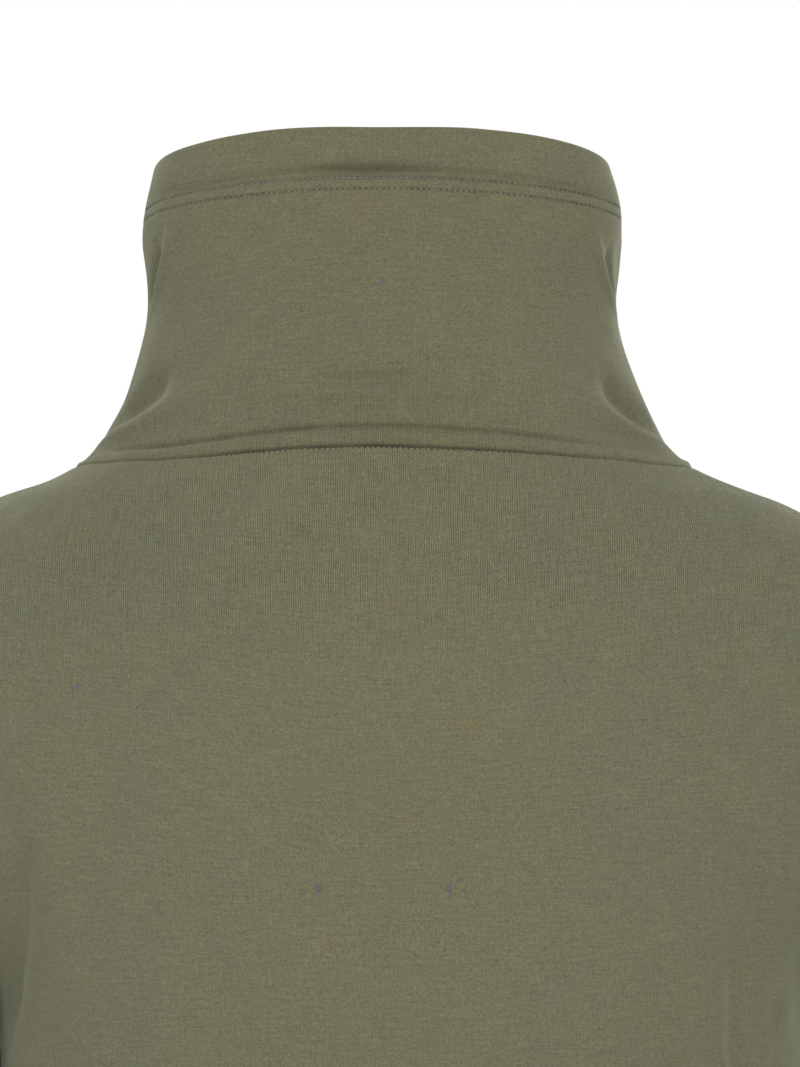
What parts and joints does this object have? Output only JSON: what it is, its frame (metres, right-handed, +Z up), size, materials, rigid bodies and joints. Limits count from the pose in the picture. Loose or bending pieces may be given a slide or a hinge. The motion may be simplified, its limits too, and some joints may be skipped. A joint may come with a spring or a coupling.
{
  "type": "sweatshirt",
  "caption": "Hollow knit sweatshirt with a high, wide funnel collar and long hanging sleeves, filled out as if worn, with plain turned and stitched edges.",
  "frame": {"origin": "midway between the two shoulder neck points, where the garment hangs on the shoulders", "axes": "+Z up along the neck, +Y towards the garment's front, +X towards the wearer's right arm"},
  "size_m": [0.678, 0.2482, 0.7977],
  "materials": {
    "knit": "matt brushed-back knit, fine plain face, olive khaki",
    "thread": "matt sewing thread, dyed to the cloth"
  },
  "bodies": {
    "root": {"back": "knit", "front": "knit", "sleeve_left": "knit", "sleeve_right": "knit", "collar_back": "knit", "collar_front": "knit"}
  },
  "joints": []
}
